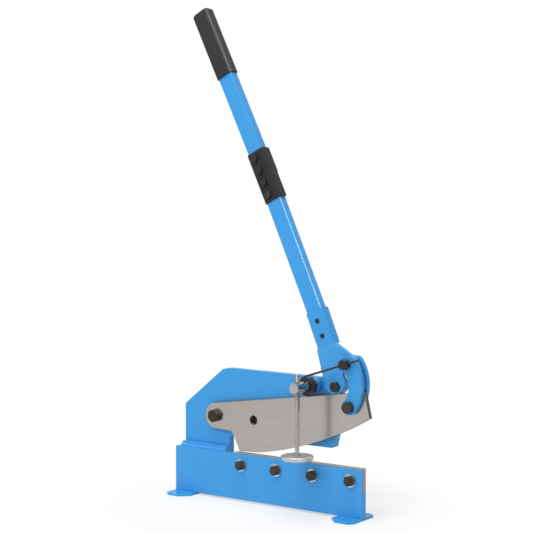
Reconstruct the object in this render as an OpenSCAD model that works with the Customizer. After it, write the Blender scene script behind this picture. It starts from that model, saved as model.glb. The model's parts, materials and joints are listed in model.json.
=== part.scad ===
// Bench lever shear: a slitting shear bolted to a bench by two feet.
// A C-shaped frame carries the moving blade, the hand lever and a hold-down.
// Origin: centre of the foot bolt holes on the bench. +X right, +Y back, +Z up.

/* [Base] */
// Length of the base plate
base_len = 450; // [420:1:480]
// Height of the base plate on its feet
base_h = 91; // [80:1:105]
// Thickness of the base plate
base_t = 14; // [13:0.5:17]
// Length of each foot along the base
foot_len = 54; // [46:1:62]
// Depth of each foot from front to back
foot_depth = 88; // [82:1:100]
// Thickness of each foot
foot_t = 4; // [3:0.5:8]
// Bore of the bench bolt holes
foot_hole_d = 11; // [8:0.5:13]
// Distance of the holes from the end of the base
foot_hole_inset = 25; // [22:1:30]
// Distance between the two holes of a foot
foot_hole_pitch = 55.4; // [50:0.2:62]
// Cut across the inner corners of a foot
foot_inner_cut = 17; // [10:1:20]
// Cut across the outer corners of a foot
foot_outer_cut = 9; // [4:1:11]

/* [Frame] */
// Thickness of the frame plate
frame_t = 14; // [10:0.5:18]
// Width of the column
column_w = 121.8; // [116:0.2:126]
// Step of the column's outer edge above the base
column_step = 6.2; // [3:0.1:9]
// Height of the throat between base and arm
throat_h = 30.1; // [26:0.1:36]
// Height of the arm plate
arm_h = 133.5; // [128:0.5:140]
// Distance from the arm's end to the base's end
arm_setback = 61.2; // [56:0.2:68]
// Radius of the arm's corner about the lever pivot
nose_r = 14; // [12:0.5:17]
// Height of the cut on the lower corner of the arm
nose_cut = 30; // [20:1:40]
// Height of the sloping shoulder
shoulder_h = 77.5; // [60:0.5:95]
// Length of the sloping shoulder
shoulder_run = 98; // [85:1:100]
// Height of the spacer above the base
spacer_rise = 9; // [6:0.5:12]
// Leg of the weld in front of the spacer
weld_leg = 5.5; // [3:0.5:6]

/* [Blades] */
// Length of the lower blade
lower_len = 300; // [280:1:310]
// Height of the lower blade
lower_h = 44.5; // [38:0.5:50]
// Thickness of the lower blade
lower_t = 9.5; // [8:0.5:10]
// Height of the lower blade above the base
lower_rise = 2.5; // [1:0.5:4]
// Distance between the lower blade bolts
lower_pitch = 85; // [70:1:88]
// Thickness of the upper blade and of the lever plate
blade_t = 10; // [8:0.5:12]
// Radius of the upper blade's eye
eye_r = 25.7; // [22:0.1:28]
// Distance of the blade pivot from the base's end
pivot_inset = 93.1; // [88:0.1:97]
// Height of the blade pivot above the base
pivot_rise = 69.2; // [66:0.2:72]
// Slope of the upper blade's back in degrees
blade_slope = 7.9; // [7.4:0.1:8.2]
// Length of the upper blade's back
back_len = 360; // [345:1:375]
// Height of the upper blade's end
tip_h = 49.8; // [42:0.2:56]
// Lean of the upper blade's end in degrees
tip_lean = 12.9; // [8:0.1:16]
// Radius of the cutting edge
edge_r = 720; // [600:10:1200]
// Width of the blade heel's flat
heel_w = 47.7; // [40:0.1:54]
// Clearance between the two blades
shear_gap = 0.2; // [0.1:0.05:0.4]
// Running gap beside a moving plate
side_gap = 0.5; // [0.3:0.1:0.8]

/* [Links] */
// Thickness of a link
link_t = 10; // [8:0.5:12]
// Radius of the link ends
link_end_r = 15.1; // [13:0.1:16]
// Radius of the link's outer edge
link_outer_r = 86; // [80:1:96]
// Radius of the link's inner edge
link_inner_r = 41; // [36:1:46]
// Radius of the corner beside the guide bolt
lobe_r = 12; // [10:0.5:13.5]
// Distance from lever pivot to guide bolt
crank_r = 54.9; // [52:0.1:58]
// Direction of the guide bolt from the lever pivot in degrees
crank_angle = 56.4; // [54:0.2:59]
// Distance between the link's two bolts
link_len = 80.5; // [78:0.1:83]
// Direction of the link from its upper bolt in degrees
link_angle = -86.3; // [-88:0.1:-84]
// Half the travel of the link bolt in the blade's slot
slot_travel = 10.5; // [9:0.1:12]
// Half the width of the blade's slot
slot_r = 5.8; // [5.4:0.1:6.6]
// Direction of the blade's slot in degrees
slot_angle = 19.4; // [15:0.1:24]
// Offset of the slot across its length
slot_shift = 0.67; // [0.4:0.01:0.9]
// Radius of the link bolt's neck in the slot
neck_r = 4; // [3.5:0.1:4.3]

/* [Lever] */
// Height of the socket's lower end above the lever pivot
plate_h = 79; // [76:0.5:84]
// Offset of the socket's centre line from the pivot
socket_shift = 7.5; // [5:0.1:9]
// Lean of the socket in degrees
socket_lean = 22.4; // [20:0.1:24]
// Length of the socket
socket_len = 72; // [66:0.5:80]
// Width of the lever tube
tube_w = 35; // [30:0.5:38]
// Depth of the lever tube
tube_d = 20; // [18:0.5:24]
// Wall of the lever tube
tube_wall = 2; // [1.5:0.1:3]
// Wall of the socket
socket_wall = 2.2; // [1.8:0.1:3]
// Play of the tube in the socket on each side
socket_play = 1.3; // [1.2:0.05:2]
// Lean of the lower tube in degrees
lower_lean = 24.2; // [23.6:0.1:24.6]
// Length of the lower tube above the socket
lower_tube_len = 285.8; // [240:0.2:330]
// Length of the lower tube in the socket
insert_len = 60; // [50:1:64]
// Lean of the upper tube in degrees
upper_lean = 25.9; // [25.3:0.1:26.3]
// Length of the upper tube to the end of the grip
upper_tube_len = 373; // [330:1:420]
// Radius of the lug about the guide bolt
lug_r = 17; // [15:0.5:18.5]
// Length of the joint bracket
bracket_len = 106; // [98:1:116]
// Wall of the joint bracket
bracket_wall = 2.5; // [2:0.1:3]
// Play of the tubes in the joint bracket on each side
bracket_play = 1; // [0.9:0.05:1.5]
// Distance between the joint bracket's bolts
bracket_pitch = 26; // [22:0.5:28]
// Offset of the bracket's bolts from its centre line
bracket_shift = 4; // [0:0.5:5]
// Length of the grip
grip_len = 149; // [120:1:170]
// Width of the grip
grip_w = 41; // [40:0.5:46]
// Depth of the grip
grip_d = 26; // [25:0.5:30]

/* [Hold-down] */
// Distance of the stud from the lever pivot
stud_spacing = 50.5; // [48:0.1:54]
// Diameter of the stud's bright end
stud_d = 20.5; // [18:0.1:24]
// Length of the stud's bright end
stud_len = 43.8; // [40:0.1:50]
// Distance of the screw from the stud's free end
screw_inset = 11.8; // [9:0.1:16]
// Diameter of the screw's thread
screw_d = 10; // [8:0.5:11]
// Length of the screw's thread
thread_len = 68.1; // [66:0.1:76]
// Height of the screw above the stud
screw_rise = 26; // [22:0.5:30]
// Diameter of the pad
pad_d = 61.5; // [50:0.5:64]
// Thickness of the pad
pad_t = 7; // [5:0.5:9]
// Height of the pad above the lower blade
pad_rise = 12.4; // [8:0.1:15]
// Diameter of the wire catch
wire_d = 4.2; // [3.5:0.1:4.5]
// Length of the wire beyond the guide bolt
wire_over = 35; // [25:1:45]
// Length of the wire's short tail
wire_tail = 33; // [24:1:36]

/* [Fastenings] */
// Thread of the blade pivot bolt
pivot_bolt_d = 16; // [12:1:18]
// Thread of the lever pivot, guide and blade bolts
bolt_d = 12; // [10:0.5:13]
// Thread of the link bolt
link_bolt_d = 14; // [12:0.5:15]
// Thread of the socket bolts
socket_bolt_d = 10; // [8:0.5:10.5]
// Thread of the joint bracket bolts
bracket_bolt_d = 8; // [6:0.5:8.5]
// Radial clearance of a turning bolt in its bore
run_fit = 0.05; // [0.03:0.01:0.08]
// Radial clearance of a fixed bolt in its bore
bolt_fit = 0.15; // [0.1:0.05:0.3]

/* [Hidden] */
$fn = 48;

// Colours of the finishes
blue = "#4AA3E8";
dark = "#2E2B29";
steel = "#A8A39E";
zinc = "#D2D2CE";
chrome = "#DADADA";
rubber = "#3A3836";

// Proportions of hexagon heads and nuts
head_share = 0.62;
nut_share = 0.8;
jam_share = 0.5;
flats_share = 1.5;
washer_share = 2.1;
washer_t_share = 0.2;
// How far a cut runs past a face
over = 1;
// Degrees between the points of a rounded outline
arc_step = 7.5;
// Degrees between the points of a long shallow curve
fine_step = 1.5;

// Levels above the bench and positions along the base
base_top = foot_t + base_h;
arm_bottom = base_top + throat_h;
arm_top = arm_bottom + arm_h;
left_end = -base_len / 2;
right_end = base_len / 2;
arm_end = right_end - arm_setback;
blade_pivot = [left_end + pivot_inset, base_top + pivot_rise];
nose_inset = 6.2;
lever_pivot = [arm_end - nose_inset, arm_top - nose_r];
guide_point = lever_pivot + polar(crank_r, crank_angle);
link_point = guide_point + polar(link_len, link_angle);
stud_point = lever_pivot - [stud_spacing, 0];

// Planes from front to back
base_front = -base_t / 2;
shear_plane = base_t / 2;
blade_front = shear_plane + shear_gap;
blade_back = blade_front + blade_t;
frame_front = blade_back + side_gap;
frame_back = frame_front + frame_t;
link_front = blade_front - side_gap - link_t;
rear_link_back = frame_front + link_t;
head_gap = 0.2;

// A point at a distance and a direction in the frame's plane
function polar(r, a) = r * [cos(a), sin(a)];
function unit(v) = v / norm(v);
function across(v) = [-v[1], v[0]];
// Points along an arc from one direction to another
function arc(c, r, a0, a1, step = arc_step) =
  let (n = max(1, ceil(abs(a1 - a0) / step)))
  [for (i = [0:n]) c + polar(r, a0 + (a1 - a0) * i / n)];
// The meeting point of two circles, on the left of the line from a to b
function meet(a, ra, b, rb) =
  let (d = norm(b - a), u = (b - a) / d, k = (ra * ra - rb * rb + d * d) / (2 * d))
  a + u * k + across(u) * sqrt(ra * ra - k * k);
function bearing(v) = atan2(v[1], v[0]);
// A corner of an outline rounded by a radius that its sides can hold
function corner(a, p, b, r) =
  r <= 0 ? [p] :
  let (u = unit(a - p), v = unit(b - p), half = acos(u * v) / 2,
       fit = min(r, min(norm(a - p), norm(b - p)) * tan(half) / 2),
       c = p + unit(u + v) * fit / sin(half),
       s = bearing(p + u * fit / tan(half) - c), e = bearing(p + v * fit / tan(half) - c),
       turn = (e - s > 180) ? e - s - 360 : (e - s < -180) ? e - s + 360 : e - s)
  arc(c, fit, s, s + turn);
// An outline from points with radii: [[x, z], radius]
function rounded(pts) =
  let (n = len(pts))
  [for (i = [0:n - 1]) each corner(pts[(i + n - 1) % n][0], pts[i][0], pts[(i + 1) % n][0], pts[i][1])];
function box_pts(w, h, r) =
  [[[-w / 2, -h / 2], r], [[w / 2, -h / 2], r], [[w / 2, h / 2], r], [[-w / 2, h / 2], r]];

// An outline in the frame's plane made into a plate
module slab(y0, y1) {
  translate([0, y1, 0])
    rotate([90, 0, 0])
      linear_extrude(y1 - y0) children();
}
// A round bar or bore from front to back
module bar(p, r, y0, y1) {
  translate([p[0], y1, p[1]])
    rotate([90, 0, 0])
      cylinder(r = r, h = y1 - y0);
}
// A hexagon from front to back, set by its distance across flats
module hex(p, flats, y0, y1, turn = 0) {
  translate([p[0], y1, p[1]])
    rotate([90, 0, 0])
      rotate([0, 0, turn])
        cylinder(r = flats / sqrt(3), h = y1 - y0, $fn = 6);
}
// A washer or ring from front to back
module ring(p, r_out, r_in, y0, y1) {
  difference() {
    bar(p, r_out, y0, y1);
    bar(p, r_in, y0 - over, y1 + over);
  }
}
// A nut from front to back on a bolt of the given thread
module nut(p, d, y0, y1, turn = 0) {
  difference() {
    hex(p, flats_share * d, y0, y1, turn);
    bar(p, d / 2 + run_fit, y0 - over, y1 + over);
  }
}

// Base plate with the rebate that takes the lower blade
lower_x0 = right_end - lower_len;
lower_z0 = base_top + lower_rise - lower_h;
lower_y0 = shear_plane - lower_t;
// Middle of the bolt row along and up the lower blade
bolt_row_shares = [0.49, 0.46];
bolt_row = [lower_x0 + lower_len * bolt_row_shares[0], lower_z0 + lower_h * bolt_row_shares[1]];
lower_bolts = [for (i = [-1.5:1.5]) bolt_row + [i * lower_pitch, 0]];
module base_plate() {
  color(blue)
    difference() {
      translate([left_end, base_front, foot_t])
        cube([base_len, base_t, base_h]);
      translate([lower_x0, lower_y0, lower_z0])
        cube([lower_len + over, base_t, lower_h + over]);
      for (p = lower_bolts) bar(p, bolt_d / 2 + bolt_fit, base_front - over, lower_y0 + over);
    }
}

// A foot, mirrored for the other end of the base
module foot() {
  outline = [
    [-foot_len / 2, -foot_depth / 2 + foot_outer_cut],
    [-foot_len / 2 + foot_outer_cut, -foot_depth / 2],
    [foot_len / 2 - foot_inner_cut, -foot_depth / 2],
    [foot_len / 2, -foot_depth / 2 + foot_inner_cut]];
  back = [for (i = [3:-1:0]) [outline[i][0], -outline[i][1]]];
  hole_x = foot_hole_inset - foot_len / 2;
  difference() {
    linear_extrude(foot_t) polygon(concat(outline, back));
    for (side = [-1, 1])
      translate([hole_x, side * foot_hole_pitch / 2, -over])
        cylinder(d = foot_hole_d, h = foot_t + 2 * over);
  }
}
module left_foot() {
  color(blue)
    translate([left_end + foot_len / 2, 0, 0]) foot();
}
module right_foot() {
  color(blue)
    translate([right_end - foot_len / 2, 0, 0]) mirror([1, 0, 0]) foot();
}

// Frame plate: a column and an arm cut from one sheet
crest = [14, 3];
nose_shares = [[-0.73, 0], [-0.24, 0.19], [0, 1]];
inner_r = 4;
module frame_plate() {
  shoulder = arm_top - shoulder_h;
  edge = left_end + column_step;
  low = [arm_end, arm_bottom];
  // the corner's arc starts where it leaves the arm's straight end
  from = -acos(nose_inset / nose_r);
  outline = concat(
    [[left_end, foot_t], [left_end + column_w, foot_t]],
    corner([left_end + column_w, foot_t], [left_end + column_w, arm_bottom], low, inner_r),
    [for (s = nose_shares) low + nose_cut * s],
    arc(lever_pivot, nose_r, from, 90),
    [[edge + shoulder_run + crest[0], arm_top + crest[1]], [edge + shoulder_run, arm_top]],
    [[edge, shoulder], [edge, base_top], [left_end, base_top]]);
  color(blue)
    difference() {
      slab(frame_front, frame_back) polygon(outline);
      bar(blade_pivot, pivot_bolt_d / 2 + bolt_fit, frame_front - over, frame_back + over);
      bar(lever_pivot, bolt_d / 2 + bolt_fit, frame_front - over, frame_back + over);
      bar(stud_point, pivot_bolt_d / 2 + bolt_fit, frame_front - over, frame_back + over);
    }
}

// Spacer between base plate and frame plate, welded along its top
module frame_spacer() {
  top = base_top + spacer_rise;
  color(blue)
    slab(shear_plane, frame_front)
      polygon([[left_end, foot_t], [left_end + column_w, foot_t], [left_end + column_w, top],
        [left_end + column_step, top], [left_end + column_step, base_top], [left_end, base_top]]);
}
module spacer_weld() {
  from = left_end + column_step;
  color(blue)
    translate([from, shear_plane, base_top])
      rotate([90, 0, 90])
        linear_extrude(column_w - column_step)
          polygon(concat([[0, 0]], [for (a = [90:15:180]) weld_leg * [cos(a), sin(a)]]));
}

// Lower blade, bolted into the rebate with its face in the shear plane
module lower_blade() {
  color(steel)
    difference() {
      translate([lower_x0, lower_y0, lower_z0])
        cube([lower_len, lower_t, lower_h]);
      for (p = lower_bolts) bar(p, bolt_d / 2 + run_fit, lower_y0 - over, shear_plane + over);
    }
}
bolt_flats = flats_share * bolt_d;
bolt_head = head_share * bolt_d;
washer_t = washer_t_share * bolt_d;
module blade_bolts() {
  seat = base_front - washer_t;
  color(dark)
    for (p = lower_bolts) {
      hex(p, bolt_flats, seat - bolt_head, seat, 12);
      bar(p, bolt_d / 2, seat - head_gap, shear_plane - head_gap);
    }
}
module blade_washers() {
  color(zinc)
    for (p = lower_bolts)
      ring(p, washer_share * bolt_d / 2, bolt_d / 2 + bolt_fit, base_front - washer_t, base_front);
}

// Upper blade, turning on the main pivot
back_dir = polar(1, blade_slope);
back_end = blade_pivot + across(back_dir) * eye_r + back_dir * back_len;
tip = back_end + polar(tip_h, tip_lean - 90);
// Places on the blade as shares of its eye's radius
edge_start_share = 4.24;
heel_share = 2.38;
notch_shares = [[1.59, -1.08], [1.77, -1.3]];
notch_r = 8;
heel_gap = 3;
edge_gap = 5.2;
hole_shares = [3.74, -0.03];
hole_r_share = 0.36;
module blade_slot() {
  centre = link_point + across(polar(1, slot_angle)) * -slot_shift;
  ends = [for (side = [-1, 1]) centre + polar(side * slot_travel, slot_angle)];
  for (p = ends) bar(p, slot_r, blade_front - over, blade_back + over);
  translate([centre[0], blade_front - over, centre[1]])
    rotate([0, -slot_angle, 0])
      translate([-slot_travel, 0, -slot_r])
        cube([2 * slot_travel, blade_t + 2 * over, 2 * slot_r]);
}
module upper_blade() {
  edge_start = [blade_pivot[0] + eye_r * edge_start_share, base_top + edge_gap];
  heel = [blade_pivot[0] + eye_r * heel_share, base_top + heel_gap];
  under = blade_pivot + eye_r * notch_shares[0];
  step = blade_pivot + eye_r * notch_shares[1];
  centre = meet(edge_start, edge_r, tip, edge_r);
  outline = concat(
    arc(blade_pivot, eye_r, 90 + blade_slope, 266),
    corner(blade_pivot - [0, eye_r], under, step, notch_r),
    [step, heel],
    arc(centre, edge_r, bearing(edge_start - centre), bearing(tip - centre), fine_step),
    [back_end]);
  color(steel)
    difference() {
      slab(blade_front, blade_back) polygon(outline);
      bar(blade_pivot, pivot_bolt_d / 2 + run_fit, blade_front - over, blade_back + over);
      bar(blade_pivot + eye_r * hole_shares, eye_r * hole_r_share, blade_front - over, blade_back + over);
      blade_slot();
    }
}

// Main pivot: a hexagon bolt with a washer and two thin nuts behind the frame
pivot_head_y = blade_front - head_gap;
pivot_washer_t = washer_t_share * pivot_bolt_d;
pivot_nut_t = jam_share * pivot_bolt_d;
thread_over_share = 0.3;
nut_gap = 0.1;
module main_pivot_bolt() {
  end = frame_back + pivot_washer_t + 2 * pivot_nut_t + thread_over_share * pivot_bolt_d;
  color(dark) {
    hex(blade_pivot, flats_share * pivot_bolt_d, pivot_head_y - head_share * pivot_bolt_d, pivot_head_y, 20);
    bar(blade_pivot, pivot_bolt_d / 2, pivot_head_y - head_gap, end);
  }
}
module main_pivot_washer() {
  color(zinc)
    ring(blade_pivot, washer_share * pivot_bolt_d / 2, pivot_bolt_d / 2 + bolt_fit,
      frame_back, frame_back + pivot_washer_t);
}
module main_pivot_nuts() {
  seat = frame_back + pivot_washer_t;
  color(dark)
    for (y = [seat, seat + pivot_nut_t + nut_gap])
      nut(blade_pivot, pivot_bolt_d, y, y + pivot_nut_t, y);
}

// Lever pivot: a hexagon bolt with a nut behind the frame
module lever_pivot_bolt() {
  end = frame_back + (nut_share + thread_over_share) * bolt_d;
  color(dark) {
    hex(lever_pivot, bolt_flats, pivot_head_y - bolt_head, pivot_head_y, 8);
    bar(lever_pivot, bolt_d / 2, pivot_head_y - head_gap, end);
  }
}
module lever_pivot_nut() {
  color(dark)
    nut(lever_pivot, bolt_d, frame_back, frame_back + nut_share * bolt_d, 20);
}

// Hold-down stud: a bright bar with a collar and a nut in front of the frame
stud_nut_t = 7;
collar_t = 6.5;
boss_inset = 5;
boss_front = base_front + boss_inset;
boss_r_share = 0.68;
collar_r_share = 0.79;
stud_nut_share = 1.47;
wire_shift_share = 0.02;
collar_back = boss_front - stud_nut_t;
collar_front = collar_back - collar_t;
stud_front = collar_front - stud_len;
wire_y = (collar_front + collar_back) / 2 + wire_shift_share * stud_d;
screw_y = stud_front + screw_inset;
module stud_boss() {
  color(blue)
    ring(stud_point, boss_r_share * stud_d, pivot_bolt_d / 2 + bolt_fit, boss_front, frame_front);
}
module hold_down_stud() {
  end = frame_back + (nut_share + thread_over_share) * pivot_bolt_d;
  color(chrome)
    difference() {
      union() {
        bar(stud_point, stud_d / 2, stud_front, collar_front);
        bar(stud_point, pivot_bolt_d / 2, collar_front - head_gap, end);
      }
      translate([stud_point[0], screw_y, stud_point[1] - stud_d])
        cylinder(r = screw_d / 2 + run_fit, h = 2 * stud_d);
    }
}
module stud_collar() {
  color(dark)
    ring(stud_point, collar_r_share * stud_d, pivot_bolt_d / 2 + run_fit, collar_front, collar_back);
}
module stud_nut() {
  color(dark)
    difference() {
      hex(stud_point, stud_nut_share * stud_d, collar_back, boss_front, 15);
      bar(stud_point, pivot_bolt_d / 2 + run_fit, collar_back - over, boss_front + over);
    }
}
module stud_rear_nut() {
  color(dark)
    nut(stud_point, pivot_bolt_d, frame_back, frame_back + nut_share * pivot_bolt_d, 30);
}

// Hold-down screw, running up and down in the stud
thread_top = stud_point[1] + screw_rise;
thread_bottom = thread_top - thread_len;
pad_bottom = base_top + lower_rise + pad_rise;
pad_top = pad_bottom + pad_t;
shank_share = 0.8;
tip_share = 0.6;
tip_seat_share = 0.25;
pocket_share = 0.2;
stop_share = 1.2;
swivel_gap = 0.1;
stop_t = 5;
module hold_down_screw() {
  color(zinc)
    translate([stud_point[0], screw_y, 0]) {
      translate([0, 0, thread_bottom]) cylinder(d = screw_d, h = thread_len);
      translate([0, 0, pad_top + swivel_gap]) {
        cylinder(d = screw_d * shank_share, h = thread_bottom - pad_top);
        cylinder(d = screw_d * stop_share, h = stop_t);
      }
      translate([0, 0, pad_bottom + pad_t * tip_seat_share]) cylinder(d = screw_d * tip_share, h = pad_t);
    }
}
pad_edge_share = 0.2;
module hold_down_pad() {
  edge = pad_t * pad_edge_share;
  color(zinc)
    translate([stud_point[0], screw_y, pad_bottom])
      difference() {
        rotate_extrude()
          polygon([[0, 0], [pad_d / 2 - edge, 0], [pad_d / 2, edge], [pad_d / 2, pad_t - edge],
            [pad_d / 2 - edge, pad_t], [0, pad_t]]);
        translate([0, 0, pad_t * pocket_share]) cylinder(d = screw_d * tip_share + 2 * run_fit, h = pad_t);
      }
}

// Lever: a plate with a socket, two tubes joined by a bracket, and a grip
socket_dir = polar(1, 90 + socket_lean);
socket_foot = lever_pivot + [0, plate_h] * cos(socket_lean) + [-1, 0] * plate_h * sin(socket_lean)
  + polar(socket_shift, socket_lean);
socket_w = tube_w + 2 * (socket_wall + socket_play);
socket_d = tube_d + 2 * socket_wall + 2 * bolt_fit;
socket_mouth = socket_foot + socket_dir * socket_len;
tube_y = blade_front + socket_d / 2;
// the tube crosses the socket's centre line halfway down its insertion
tube_start = socket_mouth + polar(insert_len / 2 * sin(lower_lean - socket_lean), 180 + socket_lean);
tube_joint = tube_start + polar(lower_tube_len, 90 + lower_lean);
bracket_lean = (lower_lean + upper_lean) / 2;
joint_gap = 1.5;

// Pieces of the lever are drawn upright and leant over at a point
module leant(p, lean, y = 0) {
  translate([p[0], y, p[1]]) rotate([0, -lean, 0]) children();
}
// An upright box tube with rounded corners
tube_r = 3;
module box_tube(w, d, wall, r, z0, z1) {
  translate([0, 0, z0])
    difference() {
      linear_extrude(z1 - z0) polygon(rounded(box_pts(w, d, r)));
      translate([0, 0, -over])
        linear_extrude(z1 - z0 + 2 * over)
          polygon(rounded(box_pts(w - 2 * wall, d - 2 * wall, max(r - wall, wall / 4))));
    }
}

plate_left_shares = [[-0.365, 0.219], [-0.333, 0.189], [-0.289, -0.034], [-0.211, -0.127]];
plate_right_shares = [[0.187, -0.065], [0.273, 0.135], [0.129, 0.405]];
flare_shares = [[0.427, 0.778], [0.142, 0.954]];
plate_base_shares = [-0.114, 0.127];
blade_clear = 1;
module lever_plate() {
  left = socket_foot + polar(socket_w / 2, 180 + socket_lean);
  right = socket_foot + polar(socket_w / 2, socket_lean);
  back_z = blade_pivot[1] + eye_r / cos(blade_slope) - blade_pivot[0] * tan(blade_slope) + blade_clear;
  base = [for (s = plate_base_shares)
    let (x = lever_pivot[0] + s * plate_h) [x, back_z + x * tan(blade_slope)]];
  l = [for (s = plate_left_shares) lever_pivot + plate_h * s];
  r = [for (s = plate_right_shares) lever_pivot + plate_h * s];
  f = [for (s = flare_shares) lever_pivot + plate_h * s];
  round_share = 0.08;
  e = round_share * plate_h;
  outline = rounded([[left, 0], [l[0], 3 * e], [l[1], 0], [l[2], e], [l[3], e], [base[0], 0], [base[1], e],
    [r[0], e], [r[1], e], [r[2], 2 * e], [guide_point - [0, lug_r], 0],
    [guide_point + polar(lug_r, -45), 0], [guide_point + [lug_r, 0], 0],
    [guide_point + polar(lug_r, 40), 0], [f[0], e], [f[1], 2 * e], [right, 0]]);
  color(blue)
    difference() {
      union() {
        slab(blade_front, blade_back) polygon(outline);
        bar(guide_point, lug_r, blade_front, blade_back);
      }
      bar(lever_pivot, bolt_d / 2 + run_fit, blade_front - over, blade_back + over);
      bar(guide_point, bolt_d / 2 + run_fit, blade_front - over, blade_back + over);
    }
}

socket_r = 6;
socket_bolt_shares = [-0.36, -0.86];
socket_bore_share = 0.55;
function socket_bolt(s) = socket_mouth + socket_dir * s * insert_len;
module lever_socket() {
  color(blue)
    difference() {
      leant(socket_mouth, socket_lean, tube_y)
        box_tube(socket_w, socket_d, socket_wall, socket_r, -socket_len, 0);
      for (s = socket_bolt_shares)
        bar(socket_bolt(s), socket_bolt_d * socket_bore_share, 0, blade_front + 2 * socket_d);
    }
}
module socket_bolts() {
  back = blade_front + socket_d;
  color(dark)
    for (s = socket_bolt_shares) {
      p = socket_bolt(s);
      hex(p, flats_share * socket_bolt_d, back, back + head_share * socket_bolt_d, 10);
      bar(p, socket_bolt_d / 2, blade_front + socket_wall, back + head_gap);
    }
}
module lower_tube() {
  color(blue)
    difference() {
      leant(tube_start, lower_lean, tube_y)
        box_tube(tube_w, tube_d, tube_wall, tube_r, -insert_len, lower_tube_len - joint_gap / 2);
      for (s = socket_bolt_shares)
        bar(socket_bolt(s), socket_bolt_d / 2 + bolt_fit, 0, blade_front + 2 * socket_d);
      for (i = [0, 1]) bracket_hole(i);
    }
}
// Bolt places on the bracket, from its lower end up
function bracket_bolt(i) =
  tube_joint + polar((i - 1.5) * bracket_pitch, 90 + bracket_lean) + polar(bracket_shift, 180 + bracket_lean);
module bracket_hole(i) {
  bar(bracket_bolt(i), bracket_bolt_d / 2 + bolt_fit, tube_y - tube_d, tube_y + tube_d);
}
bracket_r = 5;
bracket_web_y = tube_y - tube_d / 2 - bracket_wall;
bracket_step = 2;
module joint_bracket() {
  w_in = tube_w + 2 * bracket_play;
  w = w_in + 2 * bracket_wall;
  color(dark)
    difference() {
      leant(tube_joint, bracket_lean, bracket_web_y)
        for (half = [0, 1])
          translate([0, 0, (half - 1) * bracket_len / 2])
            linear_extrude(bracket_len / 2) {
              d = tube_d + bracket_wall - (1 - half) * bracket_step;
              difference() {
                polygon(rounded([[[-w / 2, 0], bracket_r], [[w / 2, 0], bracket_r],
                  [[w / 2, d], 0], [[-w / 2, d], 0]]));
                polygon(rounded([[[-w_in / 2, bracket_wall], bracket_r - bracket_wall],
                  [[w_in / 2, bracket_wall], bracket_r - bracket_wall], [[w_in / 2, d + over], 0],
                  [[-w_in / 2, d + over], 0]]));
              }
            }
      for (i = [0:3]) bracket_hole(i);
    }
}
module bracket_bolts() {
  end = tube_y + tube_d / 2 + (nut_share + thread_over_share) * bracket_bolt_d;
  head = head_share * bracket_bolt_d;
  color(dark)
    for (i = [0:3]) {
      hex(bracket_bolt(i), flats_share * bracket_bolt_d, bracket_web_y - head, bracket_web_y, 7 * i);
      bar(bracket_bolt(i), bracket_bolt_d / 2, bracket_web_y - head_gap, end);
    }
}
module bracket_nuts() {
  seat = tube_y + tube_d / 2;
  color(dark)
    for (i = [0:3]) nut(bracket_bolt(i), bracket_bolt_d, seat, seat + nut_share * bracket_bolt_d, 11 * i);
}
grip_cap = 8;
grip_r = 7;
module upper_tube() {
  color(blue)
    difference() {
      leant(tube_joint, upper_lean, tube_y)
        box_tube(tube_w, tube_d, tube_wall, tube_r, joint_gap / 2, upper_tube_len - grip_cap);
      for (i = [2, 3]) bracket_hole(i);
    }
}
module grip() {
  dome_share = 0.86;
  z0 = upper_tube_len - grip_len;
  color(rubber)
    leant(tube_joint, upper_lean, tube_y)
      difference() {
        union() {
          translate([0, 0, z0])
            linear_extrude(grip_len - grip_cap / 2) polygon(rounded(box_pts(grip_w, grip_d, grip_r)));
          translate([0, 0, upper_tube_len - grip_cap / 2])
            linear_extrude(grip_cap / 2, scale = dome_share)
              polygon(rounded(box_pts(grip_w, grip_d, grip_r)));
        }
        translate([0, 0, z0 - over])
          linear_extrude(grip_len - grip_cap + over) polygon(rounded(box_pts(tube_w, tube_d, tube_r)));
      }
}

// Links between lever and upper blade, one on each side
lobe_share = 0.66;
lobe = guide_point + [lobe_r * lobe_share, link_end_r - lobe_r];
module link(y0, bore_low, bore_high) {
  outer = meet(link_point, link_outer_r - link_end_r, lobe, link_outer_r - lobe_r);
  inner = meet(link_point, link_inner_r + link_end_r, guide_point, link_inner_r + link_end_r);
  out_low = bearing(link_point - outer);
  out_high = bearing(lobe - outer);
  in_low = bearing(link_point - inner);
  in_high = bearing(guide_point - inner);
  outline = concat(
    arc(outer, link_outer_r, out_low, out_high, fine_step * 3),
    arc(lobe, lobe_r, out_high, 90),
    arc(guide_point, link_end_r, 90, 180 + in_high),
    arc(inner, link_inner_r, in_high, in_low, fine_step * 4),
    arc(link_point, link_end_r, 180 + in_low, 360 + out_low));
  color(blue)
    difference() {
      slab(y0, y0 + link_t) polygon(outline);
      bar(link_point, bore_low, y0 - over, y0 + link_t + over);
      bar(guide_point, bore_high, y0 - over, y0 + link_t + over);
    }
}
module front_link() {
  link(link_front, link_bolt_d / 2 + run_fit, bolt_d / 2 + run_fit);
}
module rear_link() {
  link(frame_front, neck_r + run_fit, bolt_d / 2 + run_fit);
}

// Link bolt: a full shank in the front link and a thin neck through the slot
module link_bolt() {
  end = rear_link_back + 2 * neck_r * (nut_share + thread_over_share);
  color(dark) {
    hex(link_point, flats_share * link_bolt_d, link_front - head_share * link_bolt_d, link_front, 12);
    bar(link_point, link_bolt_d / 2, link_front - head_gap, link_front + link_t);
    bar(link_point, neck_r, link_front + link_t - head_gap, end);
  }
}
module link_nut() {
  color(dark)
    nut(link_point, 2 * neck_r, rear_link_back, rear_link_back + 2 * neck_r * nut_share, 10);
}

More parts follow.
